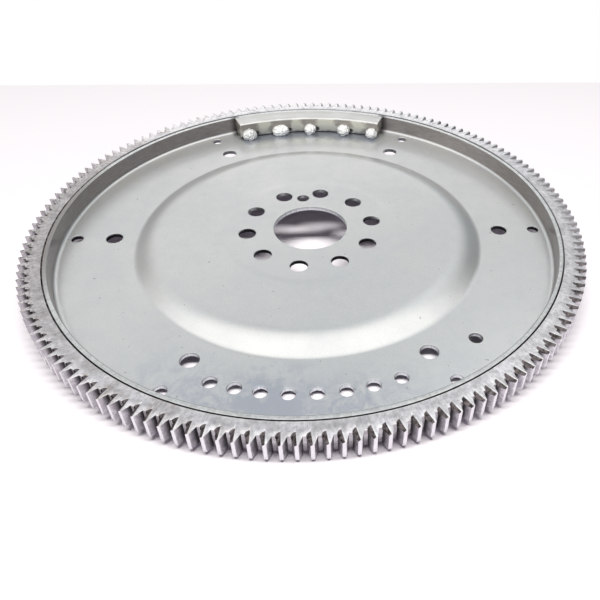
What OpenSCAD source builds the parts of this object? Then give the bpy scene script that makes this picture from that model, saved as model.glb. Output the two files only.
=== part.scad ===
// Flexplate: a pressed steel disc with an upstanding rim, a starter ring gear shrunk
// onto the rim and a balance weight welded inside it.
// The disc lies on its floor, underside at z = 0, with the gear axis along +Z.

/* [Disc] */
// Outside diameter of the rim that carries the ring gear
rim_d = 370; // [362:1:378]
// Thickness of the pressed sheet
sheet_t = 3.4; // [2.6:0.1:4.2]
// Height of the rim's top edge above the underside
rim_h = 17.7; // [16:0.1:22]
// Inside bend radius between the floor and the rim
rim_bend_r = 3; // [2:0.5:5]
// Width of the bevel along the rim's top edges
rim_edge = 0.5; // [0.2:0.1:1]

/* [Plateau] */
// Diameter of the ramp's crest, where the raised middle begins
crest_d = 227.6; // [200:0.2:240]
// Width of the ramp from its crest out to its foot
ramp_w = 13.9; // [10:0.1:20]
// Height of the raised middle above the floor
plateau_rise = 6.2; // [4:0.1:8]
// Bend radius on top of the crest
crest_bend_r = 14; // [6:0.5:18]
// Bend radius on top of the foot
foot_bend_r = 10; // [4:0.5:14]
// Diameter of the flat crankshaft pad
pad_d = 121; // [112:1:140]
// Width of the pad's sloping edge
pad_edge_w = 7; // [3:0.5:12]
// Height of the pad above the plateau
pad_rise = 0.35; // [0.1:0.05:1]

/* [Crankshaft holes] */
// Diameter of the pilot hole
pilot_d = 54.8; // [46:0.1:60]
// Bolt circle of the crankshaft bolts
crank_pcd = 94.1; // [90:0.1:98]
// Number of crankshaft bolts
crank_count = 10; // [6:1:10]
// Diameter of a crankshaft bolt hole
crank_hole_d = 12.7; // [10:0.1:14]
// Angle of the first crankshaft bolt
crank_start_angle = 8.15; // [0:0.05:36]
// Diameter of the circle that the dowel hole lies on
dowel_circle_d = 80.8; // [78:0.1:84]
// Diameter of the dowel hole
dowel_hole_d = 9.3; // [6:0.1:10]

/* [Converter holes] */
// Bolt circle of the torque converter bolts
converter_pcd = 290.8; // [284:0.1:298]
// Number of torque converter bolts
converter_count = 6; // [3:1:6]
// Diameter of a torque converter bolt hole
converter_hole_d = 12; // [9:0.1:14]
// Distance of the small outer holes in from the outside of the rim
outer_hole_inset = 12.7; // [11.5:0.1:16]
// Diameter of a small outer hole
outer_hole_d = 8.6; // [6:0.1:9]

/* [Balance drilling] */
// Distance of the balance holes in from the outside of the rim
drill_inset = 29.7; // [24:0.1:34]
// Diameter of a balance hole
drill_d = 9; // [6:0.1:10]

/* [Ring gear] */
// Number of teeth
teeth = 155; // [140:1:168]
// Angle of the first tooth
tooth_start_angle = 0.9; // [0:0.05:2.3]
// Pressure angle of the involute flanks
pressure_angle = 20; // [14.5:0.5:22]
// Width of the solid ring from its bore out to the roots of the teeth
ring_band_w = 9.9; // [6:0.1:14]
// Height of the pitch circle above the roots of the teeth
tooth_dedendum = 3.17; // [2.8:0.01:3.4]
// Height of the teeth from root to tip
tooth_h = 5.35; // [4.5:0.05:5.8]
// Thickness left off a tooth at the pitch circle, so that the pinion meshes freely
tooth_backlash = 0.3; // [0:0.05:0.5]
// Width of the gear along its axis
ring_w = 13; // [9:0.1:14]
// Gap between the rim and the bore of the ring gear
ring_fit = 0.05; // [0:0.01:0.2]
// Width of the bevel round the ends of the ring gear's bore
bore_edge = 0.5; // [0.2:0.1:1]
// Depth of the groove that the two bevels leave between the rim and the ring gear
groove_h = 2; // [1:0.1:3]
// How far the engagement bevel runs in past the tooth's root
bevel_run_in = 2.85; // [1:0.05:3.5]
// Distance from a tooth's middle to the inner end of its engagement bevel
bevel_offset = 0.7; // [0.6:0.05:1]
// Turn of the engagement bevel's edge from the tooth's middle line
bevel_turn_angle = 7; // [4:0.5:8]
// Slope of the engagement bevel
bevel_slope = 40; // [30:1:45]
// Width of the engagement bevel
bevel_w = 2.8; // [2.5:0.05:3.2]

/* [Balance weight] */
// Angle that the weight spans
weight_arc_angle = 45; // [20:1:50]
// Angle of the weight's middle
weight_angle = 90.2; // [85:0.1:95]
// Width of the weight in from the rim
weight_w = 15; // [8:0.5:16]
// Height of the weight above the floor
weight_h = 14.2; // [10:0.1:16]
// Rounding of the weight's inner edges
weight_edge_r = 2; // [0.5:0.1:3]
// Gap between the weight and the disc
weight_fit = 0.05; // [0:0.01:0.2]

/* [Welds] */
// Radius of a tack weld at the weight's foot
tack_r = 5.6; // [4:0.1:6.5]
// How far a tack weld's middle stands out from the weight
tack_out = 0.8; // [0:0.1:2]
// Height of a tack weld's middle above the floor
tack_rise = 3.2; // [1:0.1:4]
// Gap behind a tack weld, whose back is flat where the weight is curved
tack_fit = 0.25; // [0.25:0.05:0.4]
// Number of stitch welds under the ring gear
stitch_count = 8; // [4:1:12]
// Angle that one stitch weld spans
stitch_arc_angle = 18; // [8:1:24]
// Radius of a stitch weld's bead
stitch_r = 3; // [2:0.1:4]

/* [Hidden] */
$fn = 128;
// Facets round a tack weld's ball
ball_fn = 36;
// Margin by which a cutting shape passes the metal it cuts
over = 1;

rim_r = rim_d / 2;
rim_inner_r = rim_r - sheet_t;
floor_top = sheet_t;
rim_bend_at = [rim_inner_r - rim_bend_r, floor_top + rim_bend_r];
plateau_top = floor_top + plateau_rise;

// The ramp between the plateau and the floor, with a bend at each end
crest_r = crest_d / 2;
foot_r = crest_r + ramp_w;
ramp_angle = atan2(plateau_rise, foot_r - crest_r);
crest_at = [crest_r - crest_bend_r * tan(ramp_angle / 2), plateau_top - crest_bend_r];
foot_at = [foot_r + foot_bend_r * tan(ramp_angle / 2), floor_top + foot_bend_r];
bend_steps = 6;

// The crankshaft pad in the middle of the plateau
pilot_r = pilot_d / 2;
pad_r = pad_d / 2;
pad_foot_r = pad_r + pad_edge_w;
pad_top = plateau_top + pad_rise;

// Hole positions worked out from their circles
crank_pitch = 360 / crank_count;
dowel_angle = crank_start_angle + 2.5 * crank_pitch;
// The balancing machine drills where it finds the disc heavy, so the angles aren't even
drill_angles = [247.8, 253.5, 259.2, 265.2, 271.3, 277.6, 283.6, 290.1, 312];
outer_hole_circle_d = rim_d - 2 * outer_hole_inset;
drill_circle_d = rim_d - 2 * drill_inset;

// The ring gear stands level with the rim's top edge
ring_bottom = rim_h - ring_w;
ring_bore_r = rim_r + ring_fit;
root_r = ring_bore_r + ring_band_w;
tip_r = root_r + tooth_h;
pitch_r = root_r + tooth_dedendum;
base_r = pitch_r * cos(pressure_angle);
tooth_pitch = 360 / teeth;
half_pitch_tooth = tooth_pitch / 4 - tooth_backlash / 2 / pitch_r * 180 / PI;
flank_steps = 3;
bevel_in_r = root_r - bevel_run_in;
bevel_l = tip_r - bevel_in_r + over;

weight_outer_r = rim_inner_r - weight_fit;
weight_inner_r = rim_inner_r - weight_w;
weight_bottom = floor_top + weight_fit;
weight_top = floor_top + weight_h;
weight_relief = rim_bend_r + weight_fit;
// Tacks are laid by hand, so each has its own angle, size and length of run
tack_angles = [69.6, 79, 90.1, 99.7, 110];
tack_swell = [0.95, 1.03, 0.98, 1, 1.04];
tack_runs = [0, 0, 0, 4.6, 1.6];
stitch_pitch = 360 / stitch_count;

// Involute function of an angle, in degrees
function involute(a) = tan(a) * 180 / PI - a;
// Half the angle that a tooth takes up at radius r
function half_tooth(r) = half_pitch_tooth + involute(pressure_angle) - involute(acos(base_r / r));
function flank_r(i) = root_r + (tip_r - root_r) * i / flank_steps;
function at_angle(r, a) = [r * cos(a), r * sin(a)];

// Points along a bend, from one angle to another
function bend_points(at, r, from, to) =
    [for (i = [0 : bend_steps]) at + at_angle(r, from + (to - from) * i / bend_steps)];

// The pressed middle of the sheet, from the pilot hole out to the rim's bend
module middle_section() {
    polygon(concat(
        [[pilot_r, pad_top], [pilot_r, pad_top - sheet_t], [pad_r, pad_top - sheet_t]],
        [[pad_foot_r, plateau_top - sheet_t]],
        bend_points(crest_at, crest_bend_r - sheet_t, 90, 90 - ramp_angle),
        bend_points(foot_at, foot_bend_r + sheet_t, 270 - ramp_angle, 270),
        [[rim_bend_at[0], 0], [rim_bend_at[0], floor_top]],
        bend_points(foot_at, foot_bend_r, 270, 270 - ramp_angle),
        bend_points(crest_at, crest_bend_r, 90 - ramp_angle, 90),
        [[pad_foot_r, plateau_top], [pad_r, pad_top]]
    ));
}

module rim_bend_section() {
    bend_outer_r = rim_bend_r + sheet_t;
    translate(rim_bend_at) difference() {
        intersection() {
            circle(r = bend_outer_r);
            translate([0, -bend_outer_r]) square(bend_outer_r);
        }
        circle(r = rim_bend_r);
    }
}

module rim_section() {
    polygon([
        [rim_inner_r, rim_bend_at[1]],
        [rim_r, rim_bend_at[1]],
        [rim_r, rim_h - groove_h],
        [rim_r - rim_edge, rim_h],
        [rim_inner_r + rim_edge, rim_h],
        [rim_inner_r, rim_h - rim_edge],
    ]);
}

module hole(d, circle_d, angle) {
    rotate([0, 0, angle]) translate([circle_d / 2, 0, -over]) cylinder(d = d, h = rim_h + over);
}

module hole_circle(d, circle_d, count, start) {
    for (i = [0 : count - 1]) hole(d, circle_d, start + i * 360 / count);
}

module flex_disc() {
    color("#c6cac9") difference() {
        rotate_extrude() {
            middle_section();
            rim_bend_section();
            rim_section();
        }
        hole_circle(crank_hole_d, crank_pcd, crank_count, crank_start_angle);
        hole(dowel_hole_d, dowel_circle_d, dowel_angle);
        hole_circle(converter_hole_d, converter_pcd, converter_count, 0);
        hole_circle(outer_hole_d, outer_hole_circle_d, converter_count, 0);
        for (angle = drill_angles) hole(drill_d, drill_circle_d, angle);
    }
}

// Outline of the involute teeth, one flank after the other
module tooth_outline() {
    polygon([
        for (k = [0 : teeth - 1], side = [-1, 1], i = [0 : flank_steps])
            let (r = flank_r(side < 0 ? i : flank_steps - i))
            at_angle(r, tooth_start_angle + k * tooth_pitch + side * half_tooth(r))
    ]);
}

// Outline of the engagement bevel seen from above, with a rounded inner end
module bevel_outline() {
    polygon(concat(
        [[bevel_l, -bevel_w], [bevel_l, 0]],
        [for (i = [0 : bend_steps])
            let (a = 90 * i / bend_steps)
            [bevel_run_in * (1 - cos(a)), -bevel_w * sin(a)]]
    ));
}

// Cutter for the bevel that leads the starter pinion into mesh, on one flank of a tooth
module engagement_bevel() {
    translate([bevel_in_r, -bevel_offset, rim_h]) rotate([0, 0, bevel_turn_angle])
        intersection() {
            translate([0, 0, -ring_w / 2]) linear_extrude(ring_w) bevel_outline();
            rotate([bevel_slope, 0, 0]) translate([-over, -ring_w, 0]) cube([ring_w, ring_w, ring_w]);
        }
}

// Cutter for the bevel round one end of the ring gear's bore
module bore_bevel(h) {
    translate([0, 0, -h])
        cylinder(r1 = ring_bore_r, r2 = ring_bore_r + bore_edge * (1 + over / h), h = h + over);
}

module ring_gear() {
    color("#bdbac0") difference() {
        translate([0, 0, ring_bottom]) linear_extrude(ring_w) tooth_outline();
        translate([0, 0, ring_bottom - over]) cylinder(r = ring_bore_r, h = ring_w + 2 * over);
        translate([0, 0, rim_h]) bore_bevel(groove_h);
        translate([0, 0, ring_bottom]) rotate([180, 0, 0]) bore_bevel(bore_edge);
        for (k = [0 : teeth - 1])
            rotate([0, 0, tooth_start_angle + k * tooth_pitch]) engagement_bevel();
    }
}

// What is left outside a rounded corner, for taking off a square one
module corner_waste(r) {
    difference() {
        translate([-over, -over]) square(r + over);
        translate([r, r]) circle(r = r);
    }
}

module weight_section() {
    difference() {
        polygon([
            [weight_inner_r, weight_bottom],
            [weight_outer_r - weight_relief, weight_bottom],
            [weight_outer_r, weight_bottom + weight_relief],
            [weight_outer_r, weight_top],
            [weight_inner_r, weight_top],
        ]);
        translate([weight_inner_r, weight_bottom]) corner_waste(weight_edge_r);
        translate([weight_inner_r, weight_top]) mirror([0, 1]) corner_waste(weight_edge_r);
    }
}

module balance_weight() {
    color("#cdccc8")
        rotate([0, 0, weight_angle - weight_arc_angle / 2])
            rotate_extrude(angle = weight_arc_angle) weight_section();
}

// Tack welds lie in the corner between the weight's inner face and the floor
module tack_welds() {
    color("#f1f1ee")
        for (i = [0 : len(tack_angles) - 1], side = tack_runs[i] > 0 ? [-1, 1] : [0])
            rotate([0, 0, tack_angles[i]])
                translate([weight_inner_r, side * tack_runs[i] / 2, floor_top])
                    tack_weld(tack_r * tack_swell[i]);
}

module tack_weld(r) {
    intersection() {
        translate([-tack_out, 0, tack_rise]) rotate([90, 0, 0]) sphere(r = r, $fn = ball_fn);
        translate([-2 * r - tack_fit, -r, 0]) cube(2 * r);
    }
}

// Stitch welds fill the corner between the rim's bend and the underside of the ring gear
module stitch_section() {
    difference() {
        translate([ring_bore_r, ring_bottom]) circle(r = stitch_r);
        translate([rim_bend_at[0], ring_bottom]) square(2 * rim_bend_r + 2 * sheet_t);
        translate(rim_bend_at) circle(r = rim_bend_r + sheet_t);
    }
}

module stitch_welds() {
    color("#a9a8aa")
        for (i = [0 : stitch_count - 1])
            rotate([0, 0, (i + 0.5) * stitch_pitch - stitch_arc_angle / 2])
                rotate_extrude(angle = stitch_arc_angle) stitch_section();
}

flex_disc();
ring_gear();
balance_weight();
tack_welds();
stitch_welds();
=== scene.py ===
"""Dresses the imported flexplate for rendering: plated metal, welds, a white studio and the camera."""
import math

import bmesh
import bpy
from bpy.props import FloatProperty, FloatVectorProperty, IntProperty, PointerProperty
from mathutils import Matrix, Vector, noise
from mathutils.geometry import delaunay_2d_cdt


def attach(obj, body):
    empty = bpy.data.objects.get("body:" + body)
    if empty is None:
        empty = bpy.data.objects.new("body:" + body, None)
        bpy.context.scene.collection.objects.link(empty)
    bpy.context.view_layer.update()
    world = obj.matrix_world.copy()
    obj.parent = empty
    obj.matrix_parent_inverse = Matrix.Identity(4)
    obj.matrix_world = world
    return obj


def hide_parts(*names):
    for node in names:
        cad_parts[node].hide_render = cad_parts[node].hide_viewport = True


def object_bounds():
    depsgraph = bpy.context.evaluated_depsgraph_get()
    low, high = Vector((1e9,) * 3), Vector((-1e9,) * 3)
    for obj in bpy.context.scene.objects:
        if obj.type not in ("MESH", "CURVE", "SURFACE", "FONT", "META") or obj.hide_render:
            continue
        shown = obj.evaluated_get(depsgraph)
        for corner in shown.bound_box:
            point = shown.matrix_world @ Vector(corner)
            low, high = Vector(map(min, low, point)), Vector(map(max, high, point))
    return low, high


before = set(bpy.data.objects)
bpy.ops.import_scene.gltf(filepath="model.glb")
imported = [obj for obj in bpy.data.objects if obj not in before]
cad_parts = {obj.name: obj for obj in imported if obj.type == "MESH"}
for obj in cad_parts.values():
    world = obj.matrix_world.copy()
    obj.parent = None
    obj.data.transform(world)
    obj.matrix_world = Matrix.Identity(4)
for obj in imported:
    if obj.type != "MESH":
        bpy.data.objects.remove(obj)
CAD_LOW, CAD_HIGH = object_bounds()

bl_info = {
    "name": "Flexplate",
    "version": (1, 0, 0),
    "blender": (4, 5, 0),
    "location": "View3D > Sidebar > Flexplate",
    "description": "Builds a plated flexplate with its ring gear, balance weight and welds",
    "category": "Object",
}

MM = 0.001
TURN = 2 * math.pi


def length(name, description, millimetres):
    """A size, given in millimetres."""
    return FloatProperty(
        name=name, description=description, default=millimetres * MM, unit="LENGTH", precision=5)


def angle(name, description, degrees):
    """An angle, given in degrees."""
    return FloatProperty(name=name, description=description, default=math.radians(degrees), subtype="ANGLE")


def colour(name, description, default):
    """A colour in linear light."""
    return FloatVectorProperty(
        name=name, description=description, default=default, subtype="COLOR", min=0, max=1)


def number(name, description, default, unit="NONE"):
    """A number with a fraction."""
    return FloatProperty(name=name, description=description, default=default, unit=unit)


def count(name, description, default):
    """A whole number."""
    return IntProperty(name=name, description=description, default=default, min=1)


class FLEXPLATE_PG_disc(bpy.types.PropertyGroup):
    """Sizes of the pressed disc."""

    rim_r: length("Rim radius", "Outside radius of the rim", 185.0)
    sheet_t: length("Sheet", "Thickness of the pressed sheet", 3.4)
    rim_h: length("Rim height", "Height of the rim's top edge above the underside", CAD_HIGH[2] / MM)
    rim_bend_r: length("Rim bend", "Inside bend radius between floor and rim", 3.0)
    rim_edge: length("Rim edge", "Width of the bevel along the rim's top edges", 0.5)
    groove_h: length("Groove", "Depth of the groove between the rim and the ring gear", 2.0)
    crest_r: length("Crest radius", "Radius at which the ramp begins", 113.8)
    ramp_w: length("Ramp width", "Width of the ramp", 13.9)
    rise: length("Plateau rise", "Height of the plateau above the floor", 6.2)
    crest_bend_r: length("Crest bend", "Bend radius on top of the crest", 36.0)
    foot_bend_r: length("Foot bend", "Bend radius on top of the foot", 10.0)
    pad_r: length("Pad radius", "Radius of the crankshaft pad", 60.5)
    pad_edge_w: length("Pad edge", "Width of the pad's sloping edge", 7.0)
    pad_rise: length("Pad rise", "Height of the pad above the plateau", 0.35)
    hole_edge_r: length("Hole edge", "Rounding of the punched holes' edges", 0.35)
    pilot_r: length("Pilot hole", "Radius of the pilot hole", 27.4)
    crank_circle_r: length("Crank circle", "Radius of the crankshaft bolt circle", 47.05)
    crank_hole_r: length("Crank hole", "Radius of a crankshaft bolt hole", 6.35)
    crank_start: angle("Crank start", "Angle of the first crankshaft bolt", 8.15)
    crank_count: count("Crank bolts", "Number of crankshaft bolt holes", 10)
    dowel_circle_r: length("Dowel circle", "Distance of the dowel hole from the axis", 40.4)
    dowel_hole_r: length("Dowel hole", "Radius of the dowel hole", 4.65)
    converter_circle_r: length("Converter circle", "Radius of the converter bolt circle", 145.4)
    converter_hole_r: length("Converter hole", "Radius of a converter bolt hole", 6.0)
    converter_count: count("Converter bolts", "Number of converter bolt holes", 6)
    outer_circle_r: length("Outer circle", "Radius of the circle of small outer holes", 172.3)
    outer_hole_r: length("Outer hole", "Radius of a small outer hole", 4.3)
    drill_circle_r: length("Balance circle", "Radius of the circle of balance holes", 155.3)
    drill_hole_r: length("Balance hole", "Radius of a balance hole", 4.5)


class FLEXPLATE_PG_gear(bpy.types.PropertyGroup):
    """Sizes of the starter ring gear."""

    teeth: count("Teeth", "Number of teeth", 155)
    start: angle("Start", "Angle of the first tooth", 0.9)
    pressure_angle: angle("Pressure angle", "Pressure angle of the involute flanks", 20)
    bore_r: length("Bore", "Radius of the ring's bore", 185.05)
    band_w: length("Band", "Width from the bore to the roots of the teeth", 9.9)
    dedendum: length("Dedendum", "Height of the pitch circle above the roots", 3.17)
    tooth_h: length("Tooth height", "Height of the teeth from root to tip", 5.35)
    backlash: length("Backlash", "Thickness left off a tooth at the pitch circle", 0.3)
    width: length("Width", "Width of the gear along its axis", 13.0)
    bore_edge: length("Bore edge", "Width of the bevel round the ends of the bore", 0.5)
    edge_r: length("Edge", "Rounding of the teeth's edges", 0.13)
    bevel_run_in: length("Bevel run-in", "How far the engagement bevel runs in past the root", 2.85)
    bevel_offset: length("Bevel offset", "Distance from a tooth's middle to its bevel's inner end", 0.7)
    bevel_turn: angle("Bevel turn", "Turn of the bevel's edge from the tooth's middle line", 7)
    bevel_slope: angle("Bevel slope", "Slope of the engagement bevel", 40)
    bevel_w: length("Bevel width", "Width of the engagement bevel", 2.8)


class FLEXPLATE_PG_weight(bpy.types.PropertyGroup):
    """Sizes of the balance weight and of the welds."""

    arc: angle("Arc", "Angle that the weight spans", 45)
    middle: angle("Middle", "Angle of the weight's middle", 90.2)
    width: length("Width", "Width of the weight in from the rim", 15.0)
    height: length("Height", "Height of the weight above the floor", 14.2)
    edge_r: length("Edge", "Rounding of the weight's inner edges", 2.0)
    fit: length("Fit", "Gap between the weight and the disc", 0.05)
    tack_r: length("Tack radius", "Radius of a tack weld", 5.6)
    tack_out: length("Tack stand-out", "How far a tack weld's middle stands out from the weight", 0.8)
    tack_rise: length("Tack rise", "Height of a tack weld's middle above the floor", 3.2)
    stitch_count: count("Stitches", "Number of stitch welds under the gear", 8)
    stitch_arc: angle("Stitch arc", "Angle that one stitch weld spans", 18)
    stitch_r: length("Stitch radius", "Radius of a stitch weld's bead", 3.0)


class FLEXPLATE_PG_finish(bpy.types.PropertyGroup):
    """Colours of the plated metal."""

    disc: colour("Disc", "Zinc plate on the disc", (0.735, 0.74, 0.735))
    disc_dull: colour("Disc, dull", "Duller patches of the disc's plate", (0.66, 0.67, 0.69))
    # The stained colour also serves as painted shade on the floor near the front of the rim.
    disc_stain_and_shade: colour("Disc, stained", "Bluish stains on the disc", (0.50, 0.53, 0.60))
    # The wall colour is the plate painted darker, as shade on the upright rim wall.
    wall: colour("Rim wall", "Brushed inside wall of the rim", (0.325, 0.30, 0.295))
    punched: colour("Punched edge", "Bright land of a punched hole", (0.80, 0.83, 0.86))
    torn: colour("Torn edge", "Dark torn part of a punched hole", (0.05, 0.045, 0.055))
    gear: colour("Gear", "Plate on the ring gear", (0.77, 0.75, 0.78))
    gear_dark: colour("Gear, worn", "Brown wear on the ring gear", (0.42, 0.375, 0.36))
    # The flank colour is the plate painted greyer, as shade on the upright flanks.
    flank: colour("Tooth flank", "Greyer plate on the flanks of the teeth", (0.52, 0.49, 0.54))
    # The tip colour is a painted highlight on the tip lands.
    tip: colour("Tooth tip", "Bright plate on the tips of the teeth", (0.95, 0.93, 0.97))
    bevel: colour("Bevel", "Dark engagement bevels", (0.10, 0.085, 0.088))
    weight: colour("Weight", "Plate on the balance weight", (0.745, 0.74, 0.73))
    tint: colour("Heat tint", "Heat tint above the welds", (0.315, 0.29, 0.27))
    straw: colour("Straw tint", "Straw-coloured tint between the welds", (0.62, 0.61, 0.54))
    weld: colour("Weld", "Plated weld metal", (0.99, 0.99, 0.98))
    # Besides sooty dirt, this colour paints shade and shadow: in the groove, between the teeth, at the
    # weight's foot and ends, beside and under the tacks.
    soot_and_shade: colour("Soot", "Soot round the welds and in the groove of the rim", (0.045, 0.042, 0.045))
    # Besides the smoky deposit, this colour paints the shade and bluish reflection on the floor at the
    # weight's foot.
    smoke_and_shade: colour("Smoke", "Bluish smoke in front of the weight", (0.235, 0.255, 0.32))
    roughness: FloatProperty(
        name="Roughness", description="Roughness of the plate", default=0.36, subtype="FACTOR", min=0, max=1)


class FLEXPLATE_PG_stage(bpy.types.PropertyGroup):
    """Camera and light."""

    camera_at: FloatVectorProperty(
        name="Camera", description="Where the camera stands",
        default=(0.00969, -0.38251, 0.27879), subtype="XYZ")
    camera_down: angle("Look down", "Angle by which the camera looks down", 41.8969)
    camera_turn: angle("Turn", "Angle by which the camera is turned to the left", -5.2042)
    camera_roll: angle("Roll", "Angle by which the camera is rolled", 1.8279)
    lens: number("Lens", "Focal length", 36.856, "CAMERA")
    shift_x: number("Shift", "Sideways shift of the frame", -0.11167)
    floor: colour("Floor", "Floor as it lights the part", (0.72, 0.66, 0.76))
    floor_shown: colour("White floor", "Tint of the floor as it is seen", (0.956, 0.913, 1.0))
    floor_gain: number("Floor gain", "How much whiter the floor is seen", 1.2)
    floor_tilt: angle("Floor tilt", "How far the floor falls away behind the part", 6.0)
    floor_rests_at: length("Floor contact", "Distance from the axis to the front contact", 172.3)
    fill: colour("Fill", "Light from all round", (0.965, 0.955, 1.0))
    fill_strength: number("Fill strength", "Strength of the fill", 0.03)
    lamp: colour("Lamp colour", "Light of the overhead lamp", (1.0, 1.0, 0.93))
    lamp_w: number("Lamp", "Power of the overhead lamp", 68.0, "POWER")
    lamp_long: length("Lamp length", "Long side of the overhead lamp", 2600.0)
    lamp_wide: length("Lamp width", "Short side of the overhead lamp", 650.0)
    lamp_y: length("Lamp place", "How far behind the axis the lamp hangs", -100.0)
    lamp_h: length("Lamp height", "Height of the overhead lamp", 2500.0)


SETTINGS = {
    "flexplate_disc": FLEXPLATE_PG_disc,
    "flexplate_gear": FLEXPLATE_PG_gear,
    "flexplate_weight": FLEXPLATE_PG_weight,
    "flexplate_finish": FLEXPLATE_PG_finish,
    "flexplate_stage": FLEXPLATE_PG_stage,
}

# The balancing machine drills where it finds the disc heavy, in degrees
DRILL_ANGLES = (247.8, 253.5, 259.2, 265.2, 271.3, 277.6, 283.6, 290.1, 312.0)
# Middle of the dark blot at the front of the floor
BLOT = (-22.0 * MM, -172.0 * MM)
# Angle that a tack's run takes up to either side, in radians per metre
RUN_TURN = 2.5
# Tacks are laid by hand: each has its angle in degrees, its size and the length of its run
TACKS = (
    (69.6, 0.95, 0.0),
    (79.0, 1.03, 0.0),
    (90.1, 0.98, 0.0),
    (99.7, 1.00, 4.6 * MM),
    (110.0, 1.04, 1.6 * MM),
)


class Number:
    """A node's output, which takes part in sums as a number does. Each sum adds a node."""

    def __init__(self, shader, socket):
        self.shader = shader
        self.socket = socket

    def __add__(self, other):
        return self.shader.math("ADD", self, other)

    def __sub__(self, other):
        return self.shader.math("SUBTRACT", self, other)

    def __rsub__(self, other):
        return self.shader.math("SUBTRACT", other, self)

    def __mul__(self, other):
        return self.shader.math("MULTIPLY", self, other)

    def __truediv__(self, other):
        return self.shader.math("DIVIDE", self, other)

    def __abs__(self):
        return self.shader.math("ABSOLUTE", self)

    __radd__ = __add__


class Shader:
    """Adds nodes to a node tree and links them."""

    def __init__(self, tree):
        self.tree = tree
        tree.nodes.clear()

    def put(self, kind, inputs=None, out=0, **settings):
        """Adds a node and returns one of its outputs. A Number among the inputs is linked."""
        node = self.tree.nodes.new(kind)
        for name, value in settings.items():
            setattr(node, name, value)
        for key, value in (inputs or {}).items():
            if isinstance(value, Number):
                self.tree.links.new(value.socket, node.inputs[key])
            else:
                node.inputs[key].default_value = value
        return Number(self, node.outputs[out]) if len(node.outputs) else node

    def math(self, operation, *values):
        return self.put("ShaderNodeMath", dict(enumerate(values)), operation=operation)

    def most(self, first, *others):
        """The greatest of some numbers."""
        for other in others:
            first = self.math("MAXIMUM", first, other)
        return first

    def vector(self, operation, *values, out=0):
        return self.put("ShaderNodeVectorMath", dict(enumerate(values)), out, operation=operation)

    def split(self, vector):
        node = self.tree.nodes.new("ShaderNodeSeparateXYZ")
        self.tree.links.new(vector.socket, node.inputs[0])
        return [Number(self, socket) for socket in node.outputs]

    def join(self, x, y, z):
        return self.put("ShaderNodeCombineXYZ", {0: x, 1: y, 2: z})

    def noise(self, vector, scale, detail=2.0, roughness=0.5, distortion=0.0):
        inputs = {"Vector": vector, "Scale": scale, "Detail": detail, "Roughness": roughness}
        return self.put("ShaderNodeTexNoise", {**inputs, "Distortion": distortion})

    def spread(self, value, low, high, to_low=0.0, to_high=1.0, smooth=True):
        """Maps a range of values to another, clamped."""
        inputs = {"Value": value, "From Min": low, "From Max": high, "To Min": to_low, "To Max": to_high}
        kind = "SMOOTHSTEP" if smooth else "LINEAR"
        return self.put("ShaderNodeMapRange", inputs, interpolation_type=kind)

    def climb(self, value, low, high, top):
        """From 0 up to a top."""
        return self.spread(value, low, high, 0.0, top)

    def fall(self, value, low, high, top=1.0):
        """From a top down to 0."""
        return self.spread(value, low, high, top, 0.0)

    def mix(self, factor, a, b, blend="MIX"):
        a, b = (value if isinstance(value, Number) else rgba(value) for value in (a, b))
        return self.put("ShaderNodeMix", {0: factor, 6: a, 7: b}, 2, data_type="RGBA", blend_type=blend)

    def bump(self, height, strength, distance):
        return self.put("ShaderNodeBump", {"Height": height, "Strength": strength, "Distance": distance})

    def times(self, base, tone):
        """A colour made lighter or darker by a number."""
        return self.mix(1.0, base, self.join(tone, tone, tone), "MULTIPLY")

    def normal(self):
        return self.put("ShaderNodeNewGeometry", out="Normal")

    def upright(self):
        """1 on upright faces, 0 on level ones."""
        return self.fall(abs(self.split(self.normal())[2]), 0.35, 0.75)

    def rays(self, *kinds):
        """1 for light rays of some kinds."""
        return self.most(*(self.put("ShaderNodeLightPath", out=f"Is {kind} Ray") for kind in kinds))

    def place(self):
        """Position in the part's own frame."""
        return self.put("ShaderNodeTexCoord", out="Object")

    def polar(self, place):
        """Distance from the axis, direction from the axis and height."""
        x, y, z = self.split(place)
        flat = self.join(x, y, 0.0)
        return self.vector("LENGTH", flat, out=1), self.vector("NORMALIZE", flat), z

    def strokes(self, direction, radius, across, along, detail=3.0):
        """Noise drawn out along the radius."""
        x, y, _ = self.split(direction)
        return self.noise(self.join(x * across, y * across, radius * along), 1.0, detail, 0.6)


def rgba(values):
    return (*values, 1.0)


def metal(name, paint, metallic=0.7):
    """A dull metal whose colour, roughness and normal are made by paint(shader, place)."""
    material = bpy.data.materials.new(name)
    material.use_nodes = True
    shader = Shader(material.node_tree)
    base, rough, normal = paint(shader, shader.place())
    inputs = {"Base Color": base, "Roughness": rough, "Normal": normal, "Metallic": metallic}
    surface = shader.put("ShaderNodeBsdfPrincipled", inputs)
    shader.put("ShaderNodeOutputMaterial", {"Surface": surface})
    return material


def groove(s, disc, radius, z, place):
    """1 in the groove between the rim and the ring gear, where its shade is painted dark."""
    low, high = disc.rim_r - disc.rim_edge, disc.rim_r + disc.rim_edge
    soft = 0.05 * MM
    across = s.spread(radius, low - soft, low + soft) * s.fall(radius, high - soft, high + soft)
    across *= s.fall(z, disc.rim_h - 5 * soft, disc.rim_h - soft)
    x = s.split(place)[0]
    broken = s.spread(s.noise(place, 260.0, 2.0, 0.5), 0.44, 0.56, 0.10, 0.9)
    broken = s.most(broken, s.spread(x, -165.0 * MM, -135.0 * MM))
    return across * broken * s.spread(x, 158.0 * MM, 178.0 * MM, 1.0, 0.35)


def tack_distance(s, place, aside=0.0):
    """Angle to the nearest tack weld's middle, or to a place beside it."""
    x, y, _ = s.split(place)
    turn = s.math("ARCTAN2", y, x)
    nearest = 1.0
    for degrees, _, run in TACKS:
        away = abs(turn - (math.radians(degrees) - aside))
        nearest = s.math("MINIMUM", nearest, away - run * RUN_TURN)
    return nearest


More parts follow.
